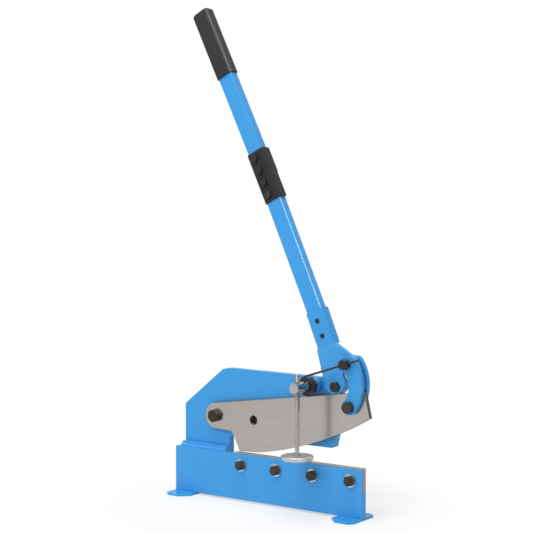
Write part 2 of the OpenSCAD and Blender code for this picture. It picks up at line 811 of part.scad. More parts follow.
// Guide bolt: its deep head has a cross hole that the wire catch slides in
catch_span = guide_point - stud_point;
loop_gap = 0.4;
loop_r = collar_r_share * stud_d + wire_d / 2 + loop_gap;
wire_angle = bearing(catch_span) - asin(loop_r / norm(catch_span));
cross_gap = 1.7;
guide_over_share = 0.6;
guide_shoulder = 3.5;
guide_head = 11.5;
cross_r = wire_d / 2 + cross_gap;
guide_seat = link_front - head_gap;
module guide_bolt() {
  end = rear_link_back + washer_t + 2 * jam_share * bolt_d + guide_over_share * bolt_d;
  front = guide_seat - guide_shoulder - guide_head;
  color(dark)
    difference() {
      union() {
        hex(guide_point, bolt_flats, front, guide_seat - guide_shoulder, wire_angle + 30);
        bar(guide_point, bolt_flats / 2, guide_seat - guide_shoulder - head_gap, guide_seat);
        bar(guide_point, bolt_d / 2, guide_seat - head_gap, end);
      }
      translate([guide_point[0], wire_y, guide_point[1]])
        rotate([0, 90 - wire_angle, 0])
          translate([0, 0, -bolt_flats]) cylinder(r = cross_r, h = 2 * bolt_flats);
    }
}
module guide_washer() {
  color(zinc)
    ring(guide_point, washer_share * bolt_d / 2, bolt_d / 2 + bolt_fit,
      rear_link_back, rear_link_back + washer_t);
}
module guide_nuts() {
  seat = rear_link_back + washer_t;
  t = jam_share * bolt_d;
  color(dark)
    for (i = [0, 1]) {
      y = seat + i * (t + nut_gap);
      nut(guide_point, bolt_d, y, y + t, 10 + 24 * i);
    }
}

// Wire catch: half a loop round the collar, a long arm and a short tail
tail_angle = 280;
// A straight run starts just inside the loop's end and is a hair thinner
wire_lap = 0.3;
wire_thin = 0.02;
module wire_run(p, a, run) {
  translate([p[0], wire_y, p[1]])
    rotate([0, 90 - a, 0])
      translate([0, 0, -wire_lap]) cylinder(r = wire_d / 2 - wire_thin, h = run + wire_lap);
}
module catch_rod() {
  top_angle = 90 + wire_angle;
  start = stud_point + polar(loop_r, top_angle);
  arm_len = sqrt(pow(norm(catch_span), 2) - loop_r * loop_r) + wire_over;
  tail = stud_point + polar(loop_r, tail_angle);
  color(dark) {
    translate([stud_point[0], wire_y, stud_point[1]])
      rotate([90, 0, 0])
        rotate([0, 0, top_angle])
          rotate_extrude(angle = tail_angle - top_angle) translate([loop_r, 0]) circle(d = wire_d);
    wire_run(start, wire_angle, arm_len);
    wire_run(tail, tail_angle - 270, wire_tail);
  }
}

base_plate();
left_foot();
right_foot();
frame_plate();
frame_spacer();
spacer_weld();
lower_blade();
blade_bolts();
blade_washers();
main_pivot_bolt();
main_pivot_washer();
main_pivot_nuts();
lever_pivot_bolt();
lever_pivot_nut();
stud_boss();
hold_down_stud();
stud_collar();
stud_nut();
stud_rear_nut();
upper_blade();
lever_plate();
lever_socket();
socket_bolts();
lower_tube();
joint_bracket();
bracket_bolts();
bracket_nuts();
upper_tube();
grip();
front_link();
rear_link();
link_bolt();
link_nut();
guide_bolt();
guide_washer();
guide_nuts();
catch_rod();
hold_down_screw();
hold_down_pad();
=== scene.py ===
import json
import math

import bmesh
import bpy
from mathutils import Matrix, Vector


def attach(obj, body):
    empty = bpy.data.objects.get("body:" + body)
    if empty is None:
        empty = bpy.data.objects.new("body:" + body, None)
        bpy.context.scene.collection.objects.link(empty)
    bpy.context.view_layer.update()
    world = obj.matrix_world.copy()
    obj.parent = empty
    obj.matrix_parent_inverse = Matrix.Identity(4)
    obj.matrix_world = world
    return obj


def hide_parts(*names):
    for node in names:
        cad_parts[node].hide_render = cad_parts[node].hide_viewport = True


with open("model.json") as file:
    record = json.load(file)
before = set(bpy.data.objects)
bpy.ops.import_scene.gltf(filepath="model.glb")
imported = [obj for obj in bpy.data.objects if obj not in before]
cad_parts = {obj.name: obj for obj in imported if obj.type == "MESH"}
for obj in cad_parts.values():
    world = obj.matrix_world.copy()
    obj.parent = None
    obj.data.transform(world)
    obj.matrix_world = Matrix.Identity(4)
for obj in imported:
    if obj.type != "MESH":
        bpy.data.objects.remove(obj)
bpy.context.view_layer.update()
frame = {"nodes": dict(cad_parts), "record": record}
print("frame loaded:", len(frame["nodes"]), "nodes")

nodeBody = {node: body for body, nodes in frame["record"]["behaviour"]["bodies"].items() for node in nodes}
nodeSlot = {part["node"]: part["material_slot"] for part in frame["record"]["subparts"]}

# camera
viewPlace = {"place": (1.41770, -1.95703, 0.55259), "tilt": 88.0348, "turn": 35.8946, "lens": 83.50,
             "sensor": 36.0, "far": 50.0}


def addCamera():
    data = bpy.data.cameras.new("viewCamera")
    data.lens = viewPlace["lens"]
    data.sensor_width = viewPlace["sensor"]
    data.clip_end = viewPlace["far"]
    camera = bpy.data.objects.new("viewCamera", data)
    camera.location = viewPlace["place"]
    camera.rotation_euler = (math.radians(viewPlace["tilt"]), 0.0, math.radians(viewPlace["turn"]))
    bpy.context.collection.objects.link(camera)
    bpy.context.scene.camera = camera


addCamera()
print("camera placed")


# shader nodes
def addNode(tree, kind, place=(0, 0), **values):
    node = tree.nodes.new(kind)
    node.location = place
    for name, value in values.items():
        if hasattr(node, name):
            setattr(node, name, value)
        else:
            node.inputs[name.replace("_", " ")].default_value = value
    return node


def newGroup(name, inputs, outputs):
    tree = bpy.data.node_groups.new(name, "ShaderNodeTree")
    for label, kind, value in inputs:
        socket = tree.interface.new_socket(name=label, in_out="INPUT", socket_type=kind)
        socket.default_value = value
    for label, kind in outputs:
        tree.interface.new_socket(name=label, in_out="OUTPUT", socket_type=kind)
    return tree, addNode(tree, "NodeGroupInput", (-900, 0)), addNode(tree, "NodeGroupOutput", (700, 0))


def buildPaintCloud():
    # slow drift of a colour, and the fine waviness of sprayed paint
    tree, given, out = newGroup(
        "paintCloud",
        [("Color", "NodeSocketColor", (0.5, 0.5, 0.5, 1)), ("Drift", "NodeSocketFloat", 0.06),
         ("Cloud Scale", "NodeSocketFloat", 14.0), ("Peel Scale", "NodeSocketFloat", 420.0)],
        [("Color", "NodeSocketColor"), ("Height", "NodeSocketFloat")])
    link = tree.links.new
    where = addNode(tree, "ShaderNodeTexCoord", (-900, -260))
    cloud = addNode(tree, "ShaderNodeTexNoise", (-640, 120), Detail=4.0, Roughness=0.55)
    peel = addNode(tree, "ShaderNodeTexNoise", (-640, -160), Detail=2.0)
    link(where.outputs["Object"], cloud.inputs["Vector"])
    link(where.outputs["Object"], peel.inputs["Vector"])
    link(given.outputs["Cloud Scale"], cloud.inputs["Scale"])
    link(given.outputs["Peel Scale"], peel.inputs["Scale"])
    centred = addNode(tree, "ShaderNodeMath", (-420, 120), operation="SUBTRACT")
    centred.inputs[1].default_value = 0.5
    link(cloud.outputs["Fac"], centred.inputs[0])
    amount = addNode(tree, "ShaderNodeMath", (-240, 120), operation="MULTIPLY")
    link(centred.outputs[0], amount.inputs[0])
    link(given.outputs["Drift"], amount.inputs[1])
    bright = addNode(tree, "ShaderNodeMath", (-60, 120), operation="ADD")
    bright.inputs[1].default_value = 1.0
    link(amount.outputs[0], bright.inputs[0])
    shade = addNode(tree, "ShaderNodeHueSaturation", (160, 120))
    link(bright.outputs[0], shade.inputs["Value"])
    link(given.outputs["Color"], shade.inputs["Color"])
    link(shade.outputs["Color"], out.inputs["Color"])
    link(peel.outputs["Fac"], out.inputs["Height"])
    return tree


def buildEdgeWearAndHighlight():
    # a thin mask along sharp edges, broken up by noise; it marks where edges are worn and where they carry a
    # painted highlight
    tree, given, out = newGroup(
        "edgeRub",
        [("Low", "NodeSocketFloat", 0.52), ("High", "NodeSocketFloat", 0.60),
         ("Break Scale", "NodeSocketFloat", 160.0)],
        [("Mask", "NodeSocketFloat")])
    link = tree.links.new
    shape = addNode(tree, "ShaderNodeNewGeometry", (-640, 160))
    where = addNode(tree, "ShaderNodeTexCoord", (-900, -160))
    noise = addNode(tree, "ShaderNodeTexNoise", (-640, -160), Detail=3.0)
    link(where.outputs["Object"], noise.inputs["Vector"])
    link(given.outputs["Break Scale"], noise.inputs["Scale"])
    ridge = addNode(tree, "ShaderNodeMapRange", (-360, 160))
    link(shape.outputs["Pointiness"], ridge.inputs["Value"])
    link(given.outputs["Low"], ridge.inputs["From Min"])
    link(given.outputs["High"], ridge.inputs["From Max"])
    mask = addNode(tree, "ShaderNodeMath", (-60, 60), operation="MULTIPLY", use_clamp=True)
    link(ridge.outputs["Result"], mask.inputs[0])
    link(noise.outputs["Fac"], mask.inputs[1])
    link(mask.outputs[0], out.inputs["Mask"])
    return tree


def buildBrushGrain():
    # long fine scratches, drawn out along one direction of the piece
    tree, given, out = newGroup(
        "brushGrain",
        [("Stretch", "NodeSocketVector", (12.0, 400.0, 400.0)), ("Turn", "NodeSocketVector", (0.0, 0.0, 0.0)),
         ("Cloud Scale", "NodeSocketFloat", 9.0)],
        [("Grain", "NodeSocketFloat"), ("Cloud", "NodeSocketFloat")])
    link = tree.links.new
    where = addNode(tree, "ShaderNodeTexCoord", (-900, -260))
    lay = addNode(tree, "ShaderNodeMapping", (-640, 100))
    link(where.outputs["Object"], lay.inputs["Vector"])
    link(given.outputs["Turn"], lay.inputs["Rotation"])
    link(given.outputs["Stretch"], lay.inputs["Scale"])
    grain = addNode(tree, "ShaderNodeTexNoise", (-380, 100), Scale=1.0, Detail=5.0, Roughness=0.6)
    cloud = addNode(tree, "ShaderNodeTexNoise", (-380, -160), Detail=3.0)
    link(lay.outputs["Vector"], grain.inputs["Vector"])
    link(where.outputs["Object"], cloud.inputs["Vector"])
    link(given.outputs["Cloud Scale"], cloud.inputs["Scale"])
    link(grain.outputs["Fac"], out.inputs["Grain"])
    link(cloud.outputs["Fac"], out.inputs["Cloud"])
    return tree


paintCloud = buildPaintCloud()
edgeRub = buildEdgeWearAndHighlight()
brushGrain = buildBrushGrain()


def placeGroup(tree, group, place, **values):
    node = tree.nodes.new("ShaderNodeGroup")
    node.node_tree = group
    node.location = place
    for name, value in values.items():
        node.inputs[name.replace("_", " ")].default_value = value
    return node


def newMaterial(name):
    material = bpy.data.materials.new(name)
    material.use_nodes = True
    tree = material.node_tree
    shader = tree.nodes["Principled BSDF"]
    shader.location = (400, 0)
    return material, tree, shader


def bumpInto(tree, shader, height, look):
    bump = addNode(tree, "ShaderNodeBump", (160, -320), Strength=look["peel"], Distance=look["peelDepth"])
    tree.links.new(height, bump.inputs["Height"])
    tree.links.new(bump.outputs["Normal"], shader.inputs["Normal"])


def mixColours(tree, factor, low, high, place):
    # low and high are colours, or sockets that give one
    mix = tree.nodes.new("ShaderNodeMix")
    mix.data_type = "RGBA"
    mix.location = place
    for socket, colour in ((mix.inputs["A"], low), (mix.inputs["B"], high)):
        if isinstance(colour, tuple):
            socket.default_value = colour
        else:
            tree.links.new(colour, socket)
    tree.links.new(factor, mix.inputs["Factor"])
    return mix.outputs["Result"]


def spread(tree, value, low, high, place):
    # a value from 0 to 1, spread from low to high
    ramp = addNode(tree, "ShaderNodeMapRange", place)
    tree.links.new(value, ramp.inputs["Value"])
    ramp.inputs["To Min"].default_value = low
    ramp.inputs["To Max"].default_value = high
    return ramp.outputs["Result"]


def makeCoating(name, look):
    # a coat whose colour drifts a little, lighter along its edges: partly edge wear, partly a painted
    # highlight
    material, tree, shader = newMaterial(name)
    cloud = placeGroup(tree, paintCloud, (-500, 100), Color=look["colour"], Drift=look["drift"],
                       Cloud_Scale=look["cloudScale"], Peel_Scale=look["peelScale"])
    edgeMask = placeGroup(tree, edgeRub, (-500, -200), Low=look["rubLow"], High=look["rubHigh"],
                     Break_Scale=look["breakScale"])
    # the edge colour is lighter than the coat: wear, and a painted highlight along the edges
    colour = mixColours(tree, edgeMask.outputs["Mask"], cloud.outputs["Color"], look["rubbed"], (-120, 160))
    rough = spread(tree, cloud.outputs["Height"], *look["roughness"], (-120, -60))
    tree.links.new(colour, shader.inputs["Base Color"])
    tree.links.new(rough, shader.inputs["Roughness"])
    shader.inputs["Specular IOR Level"].default_value = look["specular"]
    if "coat" in look:
        shader.inputs["Coat Weight"].default_value = look["coat"]
        shader.inputs["Coat Roughness"].default_value = look["coatRoughness"]
    bumpInto(tree, shader, cloud.outputs["Height"], look)
    return material


# blue paint of the frame, lever and links; its paler blue along the edges is a painted highlight as much as
# wear
bluePaint = {"colour": (0.044, 0.335, 0.745, 1), "rubbed": (0.10, 0.42, 0.84, 1), "drift": 0.07,
             "cloudScale": 14.0, "peelScale": 420.0, "rubLow": 0.56, "rubHigh": 0.72, "breakScale": 160.0,
             "roughness": (0.34, 0.42), "specular": 0.3, "coat": 0.08, "coatRoughness": 0.18,
             "peel": 0.03, "peelDepth": 0.0002}

# black finishes: oxide on bolts and nuts, the folded sheet of the bracket, and the bent wire; each is lighter
# along its edges, partly wear and partly a painted highlight
blackCoat = {"drift": 0.5, "cloudScale": 70.0, "peelScale": 900.0, "rubLow": 0.51, "rubHigh": 0.60,
             "breakScale": 420.0, "peel": 0.12, "peelDepth": 0.0003}
blackOxide = dict(blackCoat, colour=(0.014, 0.011, 0.009, 1), rubbed=(0.075, 0.060, 0.048, 1),
                  roughness=(0.30, 0.44), specular=0.35)
blackSheet = dict(blackCoat, colour=(0.013, 0.012, 0.012, 1), rubbed=(0.05, 0.046, 0.044, 1),
                  roughness=(0.44, 0.56), specular=0.22)
blackWire = dict(blackCoat, colour=(0.030, 0.024, 0.019, 1), rubbed=(0.10, 0.08, 0.06, 1),
                 roughness=(0.34, 0.50), specular=0.35)

# moulded rubber of the grip, lighter along its edges: partly wear, partly a painted highlight
gripRubber = {"colour": (0.008, 0.0075, 0.0072, 1), "rubbed": (0.026, 0.0245, 0.0235, 1), "drift": 0.35,
              "cloudScale": 40.0, "peelScale": 1500.0, "rubLow": 0.50, "rubHigh": 0.62, "breakScale": 90.0,
              "roughness": (0.46, 0.58), "specular": 0.32, "peel": 0.25, "peelDepth": 0.0003}

# ground steel of the two blades, and the duller colour of its cut edges; the two cut-edge colours are one
# material in a lit and a shaded copy: painted light on the lower blade's top edge, painted shade on the upper
# blade's end face
bladeSteel = {"dark": (0.37, 0.355, 0.335, 1), "light": (0.50, 0.485, 0.465, 1), "roughness": (0.20, 0.27),
              "warm": (0.44, 0.37, 0.31, 1), "warmShare": 0.55, "stretch": (10.0, 500.0, 420.0),
              "edgeNormal": 0.5, "edgeRoughness": 0.45, "peel": 0.03, "peelDepth": 0.0002}
lowerSteelLitEdge = dict(bladeSteel, turn=(0.0, 0.0, 0.0), edge=(0.36, 0.29, 0.24, 1))
upperSteelShadedEdge = dict(bladeSteel, turn=(0.0, math.radians(7.9), 0.0), edge=(0.13, 0.10, 0.082, 1))


def makeBladeSteel(name, look):
    material, tree, shader = newMaterial(name)
    link = tree.links.new
    grain = placeGroup(tree, brushGrain, (-500, 100), Stretch=look["stretch"], Turn=look["turn"])
    ground = mixColours(tree, grain.outputs["Grain"], look["dark"], look["light"], (-260, 160))
    warmth = spread(tree, grain.outputs["Cloud"], 0.0, look["warmShare"], (-260, 340))
    warm = mixColours(tree, warmth, ground, look["warm"], (-100, 240))
    # cut edges are the faces that look neither to the front nor to the back
    shape = addNode(tree, "ShaderNodeNewGeometry", (-900, 500))
    parts = addNode(tree, "ShaderNodeSeparateXYZ", (-700, 500))
    flat = addNode(tree, "ShaderNodeMath", (-520, 500), operation="ABSOLUTE")
    edge = addNode(tree, "ShaderNodeMath", (-340, 500), operation="LESS_THAN")
    edge.inputs[1].default_value = look["edgeNormal"]
    link(shape.outputs["True Normal"], parts.inputs[0])
    link(parts.outputs["Y"], flat.inputs[0])
    link(flat.outputs[0], edge.inputs[0])
    # the cut-edge colour is lighter on the lower blade and darker on the upper, as painted light and painted
    # shade
    link(mixColours(tree, edge.outputs[0], warm, look["edge"], (60, 300)), shader.inputs["Base Color"])
    polish = spread(tree, grain.outputs["Cloud"], *look["roughness"], (-260, -60))
    rough = addNode(tree, "ShaderNodeMath", (-60, -60), operation="MAXIMUM")
    scaled = addNode(tree, "ShaderNodeMath", (-260, -220), operation="MULTIPLY")
    scaled.inputs[1].default_value = look["edgeRoughness"]
    link(edge.outputs[0], scaled.inputs[0])
    link(polish, rough.inputs[0])
    link(scaled.outputs[0], rough.inputs[1])
    link(rough.outputs[0], shader.inputs["Roughness"])
    shader.inputs["Metallic"].default_value = 1.0
    bumpInto(tree, shader, grain.outputs["Grain"], look)
    return material


# bright metal: zinc of the washers and the pad, the turned stud, and the hold-down screw
brightMetal = {"cloudScale": 60.0, "peel": 0.05, "peelDepth": 0.0002}
brightZinc = dict(brightMetal, dark=(0.46, 0.45, 0.44, 1), light=(0.66, 0.65, 0.64, 1),
                  roughness=(0.26, 0.38), stretch=(300.0, 300.0, 60.0))
brightStud = dict(brightMetal, dark=(0.36, 0.355, 0.35, 1), light=(0.53, 0.53, 0.53, 1),
                  roughness=(0.12, 0.20), stretch=(400.0, 60.0, 400.0))
screwSteel = dict(brightMetal, dark=(0.30, 0.295, 0.29, 1), light=(0.48, 0.475, 0.47, 1),
                  roughness=(0.26, 0.38), stretch=(300.0, 300.0, 60.0))


def makeBright(name, look):
    material, tree, shader = newMaterial(name)
    grain = placeGroup(tree, brushGrain, (-500, 100), Stretch=look["stretch"], Cloud_Scale=look["cloudScale"])
    colour = mixColours(tree, grain.outputs["Cloud"], look["dark"], look["light"], (-120, 160))
    rough = spread(tree, grain.outputs["Grain"], *look["roughness"], (-120, -60))
    tree.links.new(colour, shader.inputs["Base Color"])
    tree.links.new(rough, shader.inputs["Roughness"])
    shader.inputs["Metallic"].default_value = 1.0
    bumpInto(tree, shader, grain.outputs["Grain"], look)
    return material


# one finish for each material slot, and two nodes with a finish of their own
slotFinish = {
    "blue_paint": makeCoating("bluePaint", bluePaint),
    "blade_steel": makeBladeSteel("bladeSteel", lowerSteelLitEdge),
    "black_oxide": makeCoating("blackOxide", blackOxide),
    "black_sheet": makeCoating("blackSheet", blackSheet),
    "black_wire": makeCoating("blackWire", blackWire),
    "zinc": makeBright("brightZinc", brightZinc),
    "bright_stud": makeBright("brightStud", brightStud),
    "grip_rubber": makeCoating("gripRubber", gripRubber),
}
ownFinish = {
    "upper_blade": makeBladeSteel("upperBladeSteel", upperSteelShadedEdge),
    "hold_down_screw": makeBright("screwSteel", screwSteel),
}
print("finishes made:", len(slotFinish) + len(ownFinish))


# pieces
def pieceName(node):
    words = node.split("_")
    return words[0] + "".join(word.capitalize() for word in words[1:])


def finishOf(node):
    return ownFinish.get(node, slotFinish[nodeSlot[node]])


def boxOf(points):
    # the lowest and the highest corner of some points
    low = [min(point[axis] for point in points) for axis in range(3)]
    high = [max(point[axis] for point in points) for axis in range(3)]
    return low, high


def nodeBox(node):
    return boxOf([vert.co for vert in frame["nodes"][node].data.vertices])


def placePiece(name, mesh):
    piece = bpy.data.objects.new(name, mesh)
    bpy.context.collection.objects.link(piece)
    return piece


def openCopy(node):
    # a copy of the node's solid, open for work, with its doubled points joined
    mesh = frame["nodes"][node].data.copy()
    mesh.name = pieceName(node)
    build = bmesh.new()
    build.from_mesh(mesh)
    bmesh.ops.remove_doubles(build, verts=build.verts, dist=edgeLook["joinGap"])
    return mesh, build


def closeCopy(node, mesh, build):
    # the piece made of that copy, in the node's finish
    build.to_mesh(mesh)
    build.free()
    mesh.materials.clear()
    mesh.materials.append(finishOf(node))
    return placePiece(pieceName(node), mesh)


def applyTo(piece, modifier):
    bpy.context.view_layer.objects.active = piece
    piece.select_set(True)
    bpy.ops.object.modifier_apply(modifier=modifier)
    piece.select_set(False)


def smoothBy(piece, angle):
    # edges below an angle are smooth, and large faces keep their own normal beside a broken edge
    limit = math.radians(angle)
    build = bmesh.new()
    build.from_mesh(piece.data)
    for edge in build.edges:
        edge.smooth = len(edge.link_faces) == 2 and edge.calc_face_angle(0.0) < limit
    for face in build.faces:
        face.smooth = True
    build.to_mesh(piece.data)
    build.free()
    flat = piece.modifiers.new("flat", "WEIGHTED_NORMAL")
    flat.mode = "FACE_AREA"
    flat.weight = edgeLook["faceWeight"]
    flat.keep_sharp = True


# how far each node's edges are broken, in metres, and in how many steps
edgeBreak = {
    "base_plate": (0.0006, 2), "left_foot": (0.0005, 2), "right_foot": (0.0005, 2),
    "frame_plate": (0.0010, 2), "frame_spacer": (0.0005, 1), "lower_blade": (0.0005, 2),
    "upper_blade": (0.0006, 2), "lever_plate": (0.0003, 2), "front_link": (0.0009, 2),
    "rear_link": (0.0009, 2), "stud_boss": (0.0005, 2), "hold_down_stud": (0.0008, 3),
    "stud_collar": (0.0008, 2), "joint_bracket": (0.0004, 1), "lever_socket": (0.0003, 1),
    "grip": (0.0012, 2), "lower_tube": (0.0003, 1), "upper_tube": (0.0003, 1)}
edgeLook = {"sharp": 28.0, "flat": 0.6, "joinGap": 1e-6, "faceWeight": 100}  # angles in degrees

# the arm's lower front corner, cut back further than on the plain plate: places across and up
noseLook = {"near": 0.0008,
            "corners": [{"from": (0.1638, 0.1551), "to": (0.1545, 0.1551)},
                        {"from": (0.1566, 0.1308), "to": (0.1478, 0.1272)}]}


def trimNose(build):
    moved = 0
    for vert in build.verts:
        for corner in noseLook["corners"]:
            across, up = corner["from"]
            if math.hypot(vert.co.x - across, vert.co.z - up) < noseLook["near"]:
                vert.co.x, vert.co.z = corner["to"]
                moved += 1
    print("nose points moved:", moved)


dressed = {}


def dress(node):
    # a copy of the node's solid, with its flat faces whole and its edges broken
    mesh, build = openCopy(node)
    if node == "frame_plate":
        trimNose(build)
    bmesh.ops.dissolve_limit(build, angle_limit=math.radians(edgeLook["flat"]), verts=build.verts,
                             edges=build.edges)
    piece = closeCopy(node, mesh, build)
    bevel = piece.modifiers.new("edges", "BEVEL")
    bevel.width, bevel.segments = edgeBreak[node]
    bevel.limit_method = "ANGLE"
    bevel.angle_limit = math.radians(edgeLook["sharp"])
    bevel.use_clamp_overlap = True
    applyTo(piece, "edges")
    smoothBy(piece, edgeLook["sharp"])
    dressed[node] = piece
    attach(piece, nodeBody[node])
    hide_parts(node)


# turned forms
def addRing(build, centre, level, radii, upright):
    # points round an upright axis, or round one that runs from front to back
    ring = []
    for step, radius in enumerate(radii):
        turn = 2 * math.pi * step / len(radii)
        first = centre[0] + radius * math.cos(turn)
        second = centre[1] + radius * math.sin(turn)
        ring.append(build.verts.new((first, second, level) if upright else (first, level, second)))
    return ring


def pileRings(build, rings, closed=True):
    for low, high in zip(rings, rings[1:]):
        for step in range(len(low)):
            after = (step + 1) % len(low)
            build.faces.new((low[step], low[after], high[after], high[step]))
    if closed:
        build.faces.new(rings[0][::-1])
        build.faces.new(rings[-1])


def turnForm(build, centre, outline, sides, upright):
    # a solid turned from an outline of levels and radii
    pileRings(build, [addRing(build, centre, level, [radius] * sides, upright) for level, radius in outline])


def threadRows(low, high, look):
    # rows of a round thread: level, and radius at each step of the turn
    count = int((high - low) / look["pitch"] * look["rows"])
    rows = []
    for row in range(count + 1):
        level = low + (high - low) * row / count
        edge = min(1.0, (level - low) / look["runOut"], (high - level) / look["runOut"])
        radii = []
        for step in range(look["sides"]):
            wave = ((level - low) / look["pitch"] - step / look["sides"]) % 1.0
            crest = 1.0 - abs(2.0 * wave - 1.0)
            radii.append(look["root"] + (look["crest"] - look["root"]) * crest * max(0.0, edge))
        rows.append((level, radii))
    return rows


def meshFrom(build, name):
    bmesh.ops.recalc_face_normals(build, faces=build.faces)
    mesh = bpy.data.meshes.new(name)
    build.to_mesh(mesh)
    build.free()
    return mesh


def finishPiece(build, name, body, material, replaced, smooth):
    mesh = meshFrom(build, name)
    mesh.materials.append(material)
    piece = placePiece(name, mesh)
    smoothBy(piece, smooth)
    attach(piece, body)
    if replaced:
        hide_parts(replaced)


# hexagon heads and nuts: the side, or sides, whose corners are turned off
hexSide = {
    "blade_bolts": "front", "main_pivot_bolt": "front", "lever_pivot_bolt": "front", "link_bolt": "front",
    "guide_bolt": "front", "bracket_bolts": "front", "stud_nut": "front", "socket_bolts": "back",
    "main_pivot_nuts": "both", "guide_nuts": "both", "lever_pivot_nut": "back", "stud_rear_nut": "back",
    "link_nut": "back", "bracket_nuts": "back"}
hexLook = {"flatShare": 0.95, "slope": math.tan(math.radians(30.0)), "sides": 60, "smooth": 20.0,
           "slack": 0.001, "lead": 0.00004}

# threaded ends that stand out behind the nuts: bare length, outer radius and pitch, in metres
boltEnds = {
    "main_pivot_bolt": {"bare": 0.0046, "crest": 0.0080, "pitch": 0.0020},
    "lever_pivot_bolt": {"bare": 0.0035, "crest": 0.0060, "pitch": 0.00175},
    "guide_bolt": {"bare": 0.0070, "crest": 0.0060, "pitch": 0.00175},
    "link_bolt": {"bare": 0.0023, "crest": 0.0040, "pitch": 0.00125},
    "bracket_bolts": {"bare": 0.0023, "crest": 0.0040, "pitch": 0.00125}}
boltEndLook = {"depthShare": 0.5, "sides": 36, "rows": 6, "runOut": 0.0006, "smooth": 60.0,
               "under": 0.0001, "short": 0.0002}


def looseParts(build):
    # the separate solids of a mesh, as lists of points
    parts = []
    waiting = set(build.verts)
    while waiting:
        start = waiting.pop()
        part = [start]
        reach = [start]
        while reach:
            point = reach.pop()
            for edge in point.link_edges:
                other = edge.other_vert(point)
                if other in waiting:
                    waiting.remove(other)
                    part.append(other)
                    reach.append(other)
        parts.append([vert.co.copy() for vert in part])
    return parts


def hexOutline(front, back, corner, side, end):
    # what is left of a bolt or nut once it is turned: its outline from front to back
    wide = corner + hexLook["slack"]
    flat = corner * math.cos(math.pi / 6) * hexLook["flatShare"]
    deep = (wide - flat) * hexLook["slope"]
    lead = hexLook["lead"]
    tip = flat - lead / hexLook["slope"]
    if side in ("front", "both"):
        outline = [(front - lead, tip), (front + deep, wide)]
    else:
        outline = [(front - lead, wide)]
    if side in ("back", "both"):
        outline += [(back - deep, wide), (back + lead, tip)]
    elif end:
        core = end["crest"] - end["pitch"] * boltEndLook["depthShare"] - boltEndLook["under"]
        outline += [(back - end["bare"], wide), (back - end["bare"], core), (back + lead, core)]
    else:
        outline += [(back + lead, wide)]
    return outline


def hexCutter(parts, side, end):
    build = bmesh.new()
    for points in parts:
        low, high = boxOf(points)
        centre = ((low[0] + high[0]) / 2, (low[2] + high[2]) / 2)
        corner = max(math.hypot(point.x - centre[0], point.z - centre[1]) for point in points)
        turnForm(build, centre, hexOutline(low[1], high[1], corner, side, end), hexLook["sides"], False)
    return placePiece("cutter", meshFrom(build, "cutter"))


def addBoltEnds(node, parts, end):
    look = dict(boltEndLook, **end)
    look["root"] = look["crest"] - look["pitch"] * look["depthShare"]
    build = bmesh.new()
    for points in parts:
        low, high = boxOf(points)
        centre = ((low[0] + high[0]) / 2, (low[2] + high[2]) / 2)
        rows = threadRows(high[1] - look["bare"], high[1] - look["short"], look)
        pileRings(build, [addRing(build, centre, level, radii, False) for level, radii in rows])
    finishPiece(build, pieceName(node) + "Thread", nodeBody[node], finishOf(node), None,
                look["smooth"])


def dressHex(node):
    # a copy of the node's bolts or nuts, turned by a cutter of round forms
    mesh, build = openCopy(node)
    parts = looseParts(build)
    piece = closeCopy(node, mesh, build)
    cutter = hexCutter(parts, hexSide[node], boltEnds.get(node))
    turned = piece.modifiers.new("turned", "BOOLEAN")
    turned.operation = "INTERSECT"
    turned.object = cutter
    turned.solver = "EXACT"
    applyTo(piece, "turned")
    bpy.data.objects.remove(cutter, do_unlink=True)
    smoothBy(piece, hexLook["smooth"])
    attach(piece, nodeBody[node])
    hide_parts(node)
    if node in boltEnds:
        addBoltEnds(node, parts, boltEnds[node])


# hold-down screw: where its thread runs, and the outline of its tip, stop and shank as heights and radii,
# all from its lower end up
screwLook = {"threadFrom": 0.09115, "pastTop": 0.0003, "crest": 0.00500, "root": 0.00425, "pitch": 0.0015,
             "sides": 36, "rows": 6, "runOut": 0.0012, "smooth": 50.0,
             "shank": [(0.0, 0.0030), (0.00535, 0.0030), (0.00535, 0.0060), (0.00995, 0.0060),
                       (0.01035, 0.0056), (0.01035, 0.0040), (0.09095, 0.0040), (0.09175, 0.0043)]}


def addScrew(node):
    low, high = nodeBox(node)
    centre = ((low[0] + high[0]) / 2, (low[1] + high[1]) / 2)
    build = bmesh.new()
    rows = threadRows(low[2] + screwLook["threadFrom"], high[2] + screwLook["pastTop"], screwLook)
    pileRings(build, [addRing(build, centre, level, radii, True) for level, radii in rows])
    shank = [(low[2] + height, radius) for height, radius in screwLook["shank"]]
    turnForm(build, centre, shank, screwLook["sides"], True)
    finishPiece(build, pieceName(node), nodeBody[node], finishOf(node), node,
                screwLook["smooth"])


# hold-down pad: its outline as heights and radii, from the lower face of its plain solid, over the rim and
# down into the screw's seat
padLook = {"sides": 96, "smooth": 28.0,
           "outline": [(-0.0011, 0.0297), (-0.0003, 0.0307), (0.0060, 0.0307), (0.0067, 0.0300),
                       (0.0073, 0.0284), (0.0073, 0.0066), (0.0065, 0.0062), (0.0023, 0.0062)]}


def addPad(node):
    low, high = nodeBox(node)
    centre = ((low[0] + high[0]) / 2, (low[1] + high[1]) / 2)
    build = bmesh.new()
    outline = [(low[2] + height, radius) for height, radius in padLook["outline"]]
    turnForm(build, centre, outline, padLook["sides"], True)
    finishPiece(build, pieceName(node), nodeBody[node], finishOf(node), node,
                padLook["smooth"])


# threaded hole in the upper blade: a lining with thread turns in black oxide, closed by a dark plug at its
# back; the dark lining and plug are painted shade inside the hole
holeLook = {"centre": (-0.0358, 0.16343), "crest": 0.0081, "root": 0.00925, "pitch": 0.0018, "sides": 48,
            "rows": 8, "runOut": 0.0006, "smooth": 60.0, "behindFront": 0.0002, "beforeBack": 0.0004}


